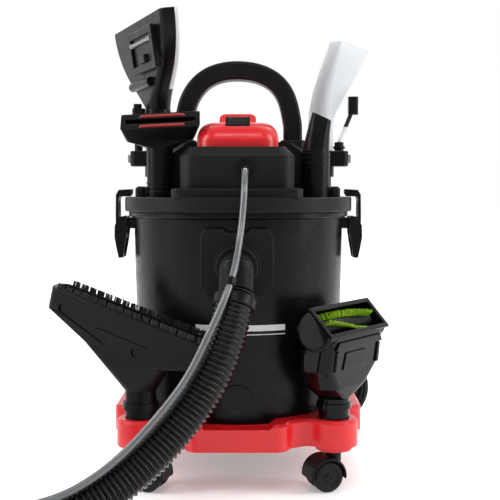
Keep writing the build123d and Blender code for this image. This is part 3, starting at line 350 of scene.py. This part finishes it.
def make_materials():
    """Every finish, by the name that the pieces use."""
    return {
        "floor": glowing_floor(),
        "red": plastic("red_plastic", (0.74, 0.013, 0.018), 0.34, 0.10, 0.0008, 0.0012, 1.12, coat=0.2,
                       mottle=0.05, specular=0.4),
        "tank": plastic("tank_black", (0.0030, 0.0030, 0.0034), 0.30, 0.06, 0.0016, 0.0010, 1.5,
                        specular=0.18),
        "lid": plastic("lid_black", (0.0090, 0.0090, 0.0095), 0.42, 0.22, 0.0010, 0.0012, 1.7),
        "head": plastic("head_black", (0.0110, 0.0110, 0.0115), 0.42, 0.25, 0.0009, 0.0012, 1.7),
        "black": plastic("tool_black", (0.0042, 0.0042, 0.0046), 0.34, 0.25, 0.0009, 0.0009, 1.8),
        "handle": plastic("handle_black", (0.0062, 0.0062, 0.0066), 0.42, 0.45, 0.0012, 0.0010, 1.6),
        "gloss": plastic("gloss_black", (0.0020, 0.0020, 0.0024), 0.12, 0.05, 0.0030, 0.0010, 2.0, coat=0.12,
                         specular=0.12),
        "hose": plastic("hose_black", (0.0025, 0.0025, 0.0028), 0.16, 0.08, 0.0012, 0.0003, 1.6,
                        specular=0.32),
        "caster": plastic("caster_black", (0.0090, 0.0090, 0.0095), 0.40, 0.35, 0.0008, 0.0008, 1.7),
        "tread": plastic("tread_black", (0.013, 0.013, 0.0135), 0.50, 0.5, 0.0008, 0.0008, 1.4),
        "grey": plastic("button_grey", (0.25, 0.25, 0.26), 0.42, 0.3, 0.0008, 0.0006, 1.2),
        "switch": plastic("switch_black", (0.0050, 0.0050, 0.0055), 0.14, 0.05, 0.0010, 0.0008, 1.8, coat=0.5,
                          specular=0.5),
        "tube": plastic("tube_grey", (0.19, 0.20, 0.21), 0.20, 0.03, 0.0020, 0.0003, 1.1, coat=0.4,
                        transmission=0.3, mottle=0.08, specular=0.5),
        "rubber": plastic("cord_rubber", (0.0070, 0.0070, 0.0070), 0.48, 0.3, 0.0007, 0.0005, 1.4),
        "white": plastic("mark_white", (0.70, 0.70, 0.70), 0.40, 0.1, 0.0008, 0.0002, 1.0, mottle=0.04),
        "ivory": plastic("float_ivory", (0.75, 0.72, 0.62), 0.45, 0.2, 0.0009, 0.0006, 1.0),
        "clear": frosted_clear("clear_frosted", (0.84, 0.86, 0.88), 0.38, 0.5),
        "jet": jet_plastic(),
        "chrome": metal("chrome", (0.80, 0.80, 0.82), 0.10),
        "steel": metal("steel", (0.52, 0.52, 0.54), 0.26, 0.05),
        "copper": metal("copper", (0.72, 0.36, 0.18), 0.28, 0.05),
        "lint": fabric("lint_red", (0.50, 0.006, 0.010)),
        "paper": fabric("filter_paper", (0.80, 0.78, 0.70), 700),
        "brush": bristle("brush_black", (0.006, 0.006, 0.006), (0.030, 0.030, 0.030)),
        "lime": bristle("brush_lime", (0.26, 0.48, 0.02), (0.55, 0.80, 0.06)),
    }


# ---- mesh building --------------------------------------------------------------------------------
def mesh_object(name, vertices, faces, material, smooth=True):
    """A mesh in the scene, with one material."""
    mesh = bpy.data.meshes.new(name)
    mesh.from_pydata([tuple(v) for v in vertices], [], faces)
    mesh.materials.append(material)
    mesh.polygons.foreach_set("use_smooth", [smooth] * len(mesh.polygons))
    made = bpy.data.objects.new(name, mesh)
    bpy.context.scene.collection.objects.link(made)
    return made


def circle_of(centre, side, up, radius, sides):
    """Points round a centre in the plane of two directions."""
    angles = [2 * math.pi * turn / sides for turn in range(sides)]
    return [centre + (side * math.cos(angle) + up * math.sin(angle)) * radius for angle in angles]


def ring_mesh(name, rings, material):
    """A skin through rings of equally many points, closed by a flat face at each end."""
    sides = len(rings[0])
    faces = []
    for step in range(len(rings) - 1):
        low, high = step * sides, (step + 1) * sides
        for turn in range(sides):
            after = (turn + 1) % sides
            faces.append((low + turn, low + after, high + after, high + turn))
    faces.append(tuple(reversed(range(sides))))
    faces.append(tuple(range((len(rings) - 1) * sides, len(rings) * sides)))
    return mesh_object(name, [point for ring in rings for point in ring], faces, material)


def tube_mesh(name, centres, radii, material, sides=32):
    """A tube with flat ends through centres, with a radius at each."""
    rings = []
    side = None
    for step, (centre, radius) in enumerate(zip(centres, radii)):
        ahead = centres[min(step + 1, len(centres) - 1)]
        behind = centres[max(step - 1, 0)]
        along = (ahead - behind).normalized()
        side = along.orthogonal() if side is None else side - along * side.dot(along)
        side.normalize()
        rings.append(circle_of(centre, side, along.cross(side), radius, sides))
    return ring_mesh(name, rings, material)


def lathe(name, outline, start, along, material, sides=40):
    """A turned piece: (distance along, radius) pairs from a start point in a direction."""
    along = Vector(along).normalized()
    side = along.orthogonal().normalized()
    up = along.cross(side)
    rings = [circle_of(start + along * distance, side, up, radius, sides) for distance, radius in outline]
    made = ring_mesh(name, rings, material)
    sharp = made.modifiers.new("sharp edges", "EDGE_SPLIT")
    sharp.split_angle = math.radians(38)
    return made


def spline(name, points, radius, material, resolution=12):
    """A round NURBS cord through its control points."""
    data = bpy.data.curves.new(name, "CURVE")
    data.dimensions = "3D"
    data.resolution_u = resolution
    data.bevel_depth = radius
    data.bevel_resolution = 5
    data.use_fill_caps = True
    line = data.splines.new("NURBS")
    line.points.add(len(points) - 1)
    for control, place in zip(line.points, points):
        control.co = (*place, 1)
    line.order_u = 3
    line.use_endpoint_u = True
    data.materials.append(material)
    made = bpy.data.objects.new(name, data)
    bpy.context.scene.collection.objects.link(made)
    return made


def line_of(points, resolution=24):
    """The points along the NURBS spline of a route."""
    plain = spline("line", points, 0, MATERIALS["hose"], resolution)
    mesh = bpy.data.meshes.new_from_object(plain)
    line = [v.co.copy() for v in mesh.vertices]
    bpy.data.objects.remove(plain)
    bpy.data.meshes.remove(mesh)
    return line


def walk(line, step):
    """Points a fixed distance apart along a line."""
    out, left = [line[0].copy()], step
    for start, end in zip(line, line[1:]):
        length = (end - start).length
        used = 0.0
        while length - used >= left:
            used += left
            out.append(start.lerp(end, used / length))
            left = step
        left -= length - used
    return out


# ---- hose, tube and cord --------------------------------------------------------------------------
def ribbed(distance, outer, depth, pitch):
    """Radius of a corrugated wall at a distance along it: broad crests and narrow roots."""
    wave = 0.5 + 0.5 * math.cos(2 * math.pi * distance / pitch)
    return outer - depth * (1 - wave ** 0.55)


def make_hose():
    """Corrugated hose along its route."""
    step = HOSE_PITCH / 9
    line = walk(line_of([at(*p) for p in HOSE_ROUTE]), step)
    radii = [ribbed(i * step, HOSE_R, 0.0030, HOSE_PITCH) for i in range(len(line))]
    hose = tube_mesh("corrugated_hose", line, radii, MATERIALS["hose"], 40)
    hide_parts("hose")
    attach(hose, "machine")
    return hose, line


def make_cuff():
    """Rigid cuff with fine rings between the inlet and the hose."""
    points = [at(0, -0.147, 0.286), at(0, -0.176, 0.286), at(0, -0.195, 0.282), at(0, -0.2095, 0.2585)]
    step = 0.0005
    line = walk(line_of(points), step)
    radii = [ribbed(i * step, CUFF_R, 0.0012, 0.0033) for i in range(len(line))]
    cuff = tube_mesh("ribbed_cuff", line, radii, MATERIALS["black"], 40)
    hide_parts("hose_cuff")
    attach(cuff, "machine")


def make_clip(hose_line, tube_line):
    """Band round the hose's first ribs, with the ring that holds the fluid tube."""
    start, ahead = hose_line[BAND_FROM], hose_line[BAND_TO]
    along = (ahead - start).normalized()
    outline = [(0, HOSE_R), (0, HOSE_R + 0.0016), (0.001, HOSE_R + 0.0024), (0.006, HOSE_R + 0.0020),
               (0.0125, HOSE_R + 0.0024), (0.0135, HOSE_R + 0.0016), (0.0135, HOSE_R)]
    band = lathe("hose_band", outline, start, along, MATERIALS["black"])
    near = min(tube_line, key=lambda p: (p - start).length)
    index = tube_line.index(near)
    direction = (tube_line[index + 3] - tube_line[index - 3]).normalized()
    ring = lathe("tube_ring", [(0, TUBE_R), (0, 0.0052), (0.001, 0.0060), (0.009, 0.0060), (0.010, 0.0052),
                               (0.010, TUBE_R)], near - direction * 0.005, direction, MATERIALS["black"], 24)
    foot = start + along * 0.006
    reach = near - foot
    stalk = tube_mesh("tube_stalk", [foot + reach * share for share in (0.55, 0.65, 0.8, 0.9)],
                      [0.0042, 0.0036, 0.0030, 0.0036], MATERIALS["black"], 16)
    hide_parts("hose_clips")
    for piece in (band, ring, stalk):
        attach(piece, "machine")
    return [band, ring, stalk]


def make_fluid_tube():
    """Fluid tube along its route, and the points of its line."""
    tube = spline("fluid_line", [at(*p) for p in TUBE_ROUTE], TUBE_R, MATERIALS["tube"], 16)
    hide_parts("fluid_tube")
    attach(tube, "machine")
    return tube, line_of([at(*p) for p in TUBE_ROUTE])


def coil_points():
    """Control points of the cord's turns: six close to the middle of the bundle, twelve round them."""
    points = []
    for step in range(COIL_TURNS * COIL_STEPS + 4):
        turns = step / COIL_STEPS
        angle = 2 * math.pi * turns
        outer = min(1.0, max(0.0, turns - COIL_INNER_TURNS + 0.5))
        offset = 0.0070 + 0.0065 * outer
        slot = 2 * math.pi * (turns / 6 if turns < COIL_INNER_TURNS else (turns - COIL_INNER_TURNS) / 12)
        radius = COIL_R + offset * math.cos(slot)
        points.append(at(*(COIL_AT + Vector((-radius * math.cos(angle), offset * math.sin(slot),
                                             -radius * math.sin(angle))))))
    return points


def make_power_cord():
    """Power cord from its boot down into the coil and on to the plug."""
    points = [at(*p) for p in CORD_ROUTE] + coil_points() + [at(*p) for p in CORD_TAIL]
    cord = spline("mains_lead", points, CORD_R, MATERIALS["rubber"], 6)
    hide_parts("power_cord", "cord_coil")
    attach(cord, "machine")
    return cord, line_of(points, 6)


def make_gland():
    """Ribbed tapering strain relief in the head's rear wall."""
    start = at(0.060, 0.122, 0.404)
    outline = [(-0.004, 0.0060), (0.0, 0.0090), (0.004, 0.0095), (0.0055, 0.0078)]
    for rib in range(6):
        radius = 0.0076 - 0.0005 * rib
        foot = 0.0060 + 0.0042 * rib
        outline += [(foot, radius), (foot + 0.0026, radius - 0.0001), (foot + 0.0030, radius - 0.0012),
                    (foot + 0.0040, radius - 0.0012)]
    outline.append((0.0320, 0.0040))
    boot = lathe("cord_boot", outline, start, (0, 1, -0.06), MATERIALS["rubber"])
    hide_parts("cord_gland")
    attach(boot, "machine")
    return boot


def make_cords():
    """The three cords with what hangs on them."""
    hose, hose_line = make_hose()
    tube, tube_line = make_fluid_tube()
    clips = make_clip(hose_line, tube_line)
    make_cuff()
    cord, cord_line = make_power_cord()
    boot = make_gland()


# ---- fine pieces ----------------------------------------------------------------------------------
def hairs(name, strands, material, body, node_name):
    """Many three-sided hairs, each (root, tip, radius), as one mesh."""
    vertices, faces = [], []
    for root, tip, radius in strands:
        along = (tip - root).normalized()
        side = along.orthogonal().normalized()
        first = len(vertices)
        for end, size in ((root, radius), (tip, radius * 0.55)):
            for turn in range(3):
                vertices.append(end + Matrix.Rotation(turn * math.tau / 3, 3, along) @ side * size)
        for turn in range(3):
            after = (turn + 1) % 3
            faces.append((first + turn, first + after, first + 3 + after, first + 3 + turn))
        faces.append((first + 3, first + 4, first + 5))
    made = mesh_object(name, vertices, faces, material, smooth=False)
    if node_name:
        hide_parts(node_name)
    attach(made, body)
    return made


def make_floor_bristles():
    """Two rows of tufts that stand out of the floor nozzle's mouth."""
    pick = random.Random(SEED)
    place = placed(FLOOR_BAR_AT, FLOOR_BAR_TURN)
    strands = []
    for row in (1, -1):
        for tuft in range(TUFTS):
            middle = (tuft - (TUFTS - 1) / 2) * TUFT_PITCH
            lean = pick.uniform(-0.0006, 0.0006)
            for _ in range(TUFT_HAIRS):
                x = middle + pick.uniform(-TUFT_HALF[0], TUFT_HALF[0])
                y = row * BRISTLE_ROW + pick.uniform(-TUFT_HALF[1], TUFT_HALF[1])
                top = BRISTLE_TOP + pick.uniform(-0.0010, 0.0002)
                root = Vector((x, y, BRISTLE_ROOT))
                tip = Vector((x + lean + pick.uniform(-0.0003, 0.0003), y, top))
                strands.append((place @ root, place @ tip, 0.00034))
    hairs("floor_bristles", strands, MATERIALS["brush"], "floor_nozzle", "floor_nozzle_brushes")


def make_roller():
    """Core with its pulley end, and four twisted rows of coloured tufts."""
    pick = random.Random(SEED + 1)
    place = placed(ROLLER_AT, (0, 0, ROLLER_TURN))
    along = place.to_3x3() @ Vector((1, 0, 0))
    outline = [(-0.0647, 0.0030), (-0.0580, 0.0030), (-0.0575, 0.0080), (-0.0545, 0.0080), (-0.0535, 0.0090),
               (-0.0520, 0.0110), (0.0520, 0.0110), (0.0530, 0.0085), (0.0540, 0.0030), (0.0647, 0.0030)]
    core = lathe("roller_core", outline, place @ Vector((0, 0, 0)), along, MATERIALS["black"])
    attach(core, "roller")
    strands = []
    for row in range(4):
        for tuft in range(ROLLER_TUFTS):
            share = tuft / (ROLLER_TUFTS - 1)
            spin = math.radians(90 * row - ROLLER_TWIST / 2 + ROLLER_TWIST * share)
            for _ in range(ROLLER_HAIRS):
                x = -ROLLER_HALF + 2 * ROLLER_HALF * share + pick.uniform(-0.0026, 0.0026)
                turned = spin + pick.uniform(-0.10, 0.10)
                out = Vector((0, -math.sin(turned), math.cos(turned)))
                top = 0.0198 + pick.uniform(-0.0010, 0.0001)
                middle = Vector((x, 0, 0))
                strands.append((place @ (middle + out * 0.0105), place @ (middle + out * top), 0.00042))
    hairs("roller_bristles", strands, MATERIALS["lime"], "roller", "brush_roller")


def make_lint_strips():
    """Two napped cloth strips, each a crowned pad with a ragged top."""
    pick = random.Random(SEED + 2)
    place = placed(LINT_AT, (0, LINT_ROLL, 0), (MOUTH_TILT, 0, 0))
    long_count, wide_count = 120, 10
    for name, side in (("lint_strip_upper", 1), ("lint_strip_lower", -1)):
        vertices, faces = [], []
        for i in range(long_count + 1):
            for j in range(wide_count + 1):
                u, v = i / long_count, j / wide_count
                crown = (1 - (2 * u - 1) ** 16) * (1 - (2 * v - 1) ** 6)
                height = 0.0068 + 0.0024 * crown + pick.uniform(-0.00018, 0.00018) * crown
                x = 0.002 + (u - 0.5) * LINT_SIZE[0]
                y = side * 0.0094 + (v - 0.5) * LINT_SIZE[1]
                vertices.append(place @ Vector((x, y, height)))
        for i in range(long_count):
            for j in range(wide_count):
                low, high = i * (wide_count + 1) + j, (i + 1) * (wide_count + 1) + j
                faces.append((low, high, high + 1, low + 1))
        strip = mesh_object(name, vertices, faces, MATERIALS["lint"])
        strip.modifiers.new("thickness", "SOLIDIFY").thickness = 0.0008
        if side == 1:
            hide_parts("lint_strips")
        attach(strip, "upholstery_nozzle")


def soft_piece(name, vertices, faces, material, width, body, slot):
    """A moulded piece with its edges rounded by a width, on its body; its slot is not used."""
    made = mesh_object(name, vertices, faces, MATERIALS[material], smooth=False)
    bevel = made.modifiers.new("soft edges", "BEVEL")
    bevel.width = width
    bevel.segments = 3
    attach(made, body)


def bar_piece(name, place, middle, size, finish):
    """A straight moulded bar with rounded edges, its far end a little smaller."""
    vertices = []
    width, depth, height = size
    for end, share in ((-1, 1.0), (1, 0.88)):
        for x, y in ((-1, -1), (1, -1), (1, 1), (-1, 1)):
            corner = Vector((x * width * share, y * depth * share, end * height)) / 2
            vertices.append(place @ (Vector(middle) + corner))
    faces = [(3, 2, 1, 0), (4, 5, 6, 7), (0, 1, 5, 4), (1, 2, 6, 5), (2, 3, 7, 6), (3, 0, 4, 7)]
    soft_piece(name, vertices, faces, *finish)


def rim_piece(name, place, outer, inner, low, high, finish):
    """A rounded rectangular rim round an opening, between two heights."""
    vertices = []
    for z in (low, high):
        for width, depth in (outer, inner):
            for x, y in ((-1, -1), (1, -1), (1, 1), (-1, 1)):
                vertices.append(place @ Vector((x * width / 2, y * depth / 2, z)))
    faces = []
    for turn in range(4):
        after = (turn + 1) % 4
        faces += [(turn, after, 8 + after, 8 + turn), (4 + after, 4 + turn, 12 + turn, 12 + after),
                  (8 + turn, 8 + after, 12 + after, 12 + turn), (after, turn, 4 + turn, 4 + after)]
    soft_piece(name, vertices, faces, *finish)


def make_turbo_relief():
    """Rim round the mouth and the raised bars on the turbo brush's front."""
    finish = ("gloss", 0.0012, "turbo_brush", "gloss_black")
    place = placed(ROLLER_AT, (0, 0, ROLLER_TURN))
    mouth = place @ turn_matrix(MOUTH_TILT, 0, 0)
    rim_piece("turbo_rim", mouth, (0.137, 0.048), (0.124, 0.0352), 0.0128, 0.0165, finish)
    front = place @ turn_matrix(TURBO_FRONT_SLOPE, 0, 0)
    bar_piece("turbo_bar", front, (0, -0.0262, -0.0150), (0.110, 0.0050, 0.0100), finish)
    bar_piece("turbo_plate", front, (-0.006, -0.0258, -0.0360), (0.052, 0.0040, 0.0220), finish)
    for side in (1, -1):
        bar_piece("turbo_rib", front, (side * 0.048, -0.0256, -0.0340), (0.0060, 0.0060, 0.0260), finish)


def make_extraction_adapter():
    """Rim, grey bar and knuckles of the hinged mouth on the extraction nozzle's outer side."""
    finish = ("black", 0.0014, "wand_left", "black_plastic")
    place = placed(FAN_MOUTH_AT, (0, 0, FAN_TURN), (FAN_LEAN, 0, 0), (-90, 0, 0))
    clasp = place @ Matrix.Translation((-0.040, 0.046, 0))
    rim_piece("adapter_rim", clasp, (0.114, 0.060), (0.094, 0.040), 0.0185, 0.0240, finish)
    along = place.to_3x3() @ Vector((1, 0, 0))
    outline = [(0, 0.0030), (0.0005, 0.0036), (0.006, 0.0036), (0.0065, 0.0026), (0.0875, 0.0026),
               (0.088, 0.0036), (0.0935, 0.0036), (0.094, 0.0030)]
    bar = lathe("adapter_bar", outline, place @ Vector((-0.087, 0.034, 0.0222)), along, MATERIALS["grey"], 24)
    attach(bar, "wand_left")
    bar_piece("adapter_latch", place, (-0.040, 0.058, 0.0225), (0.030, 0.012, 0.0060), finish)


def tank_radius(z):
    """The tank wall's radius at a height."""
    return TANK_R0 + (TANK_R1 - TANK_R0) * (z - TANK_Z0) / TANK_HEIGHT


def make_mark():
    """Plain white bar with a fine line below it, printed on the tank's front."""
    for name, low, high in (("mark_bar", 0.2035, 0.2110), ("mark_line", 0.1985, 0.1997)):
        vertices, faces = [], []
        count = 40
        for i in range(count + 1):
            x = MARK_LEFT + (MARK_RIGHT - MARK_LEFT) * i / count
            for z in (low, high):
                radius = tank_radius(z) + 0.0002
                vertices.append(at(x, -math.sqrt(radius ** 2 - x ** 2), z))
        for i in range(count):
            faces.append((2 * i, 2 * i + 2, 2 * i + 3, 2 * i + 1))
        mark = mesh_object(name, vertices, faces, MATERIALS["white"])
        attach(mark, "machine")


# ---- finishes of the CAD nodes ------------------------------------------------------------------
FINISHES = {
    "red": ["dolly_base", "top_cover", "spray_trigger", "turbine"],
    "tank": ["tank"],
    "lid": ["lid", "inlet_fitting"],
    "head": ["head_housing"],
    "handle": ["carry_handle"],
    "black": ["floor_nozzle", "upholstery_nozzle", "crevice_nozzle", "extension_tube_left",
              "extension_tube_right", "extraction_nozzle", "latch_brackets", "latch_lever_left",
              "latch_lever_right", "latch_claw_left", "latch_claw_right", "fluid_port", "hose_clips",
              "hose_cuff", "spray_handle", "cord_hook", "water_pump", "fan_impeller", "filter_cage",
              "floor_nozzle_brushes"],
    "gloss": ["turbo_housing"],
    "switch": ["power_switch"],
    "jet": ["spray_jet_left", "spray_jet_right"],
    "grey": ["tube_button_left", "tube_button_right"],
    "clear": ["extraction_window", "clear_nozzle"],
    "rubber": ["power_cord", "cord_coil", "power_plug", "cord_gland", "turbo_belt"],
    "hose": ["hose"],
    "tube": ["fluid_tube"],
    "ivory": ["float_ball"],
    "chrome": ["caster_stems"],
    "steel": ["base_screws", "motor_stator"],
    "copper": ["motor_rotor"],
    "lime": ["brush_roller"],
    "lint": ["lint_strips"],
    "paper": ["filter_cartridge"],
    "caster": [name for name in NODES if name.startswith("caster_housing")],
    "tread": [name for name in NODES if name.startswith("caster_wheels")],
}


def finish_nodes():
    """Give every CAD node its finish."""
    for key, names in FINISHES.items():
        for name in names:
            data = NODES[name].data
            data.materials.clear()
            data.materials.append(MATERIALS[key])


MATERIALS = make_materials()
make_camera()
make_cords()
make_studio()
finish_nodes()
make_floor_bristles()
make_roller()
make_lint_strips()
make_turbo_relief()
make_extraction_adapter()
make_mark()
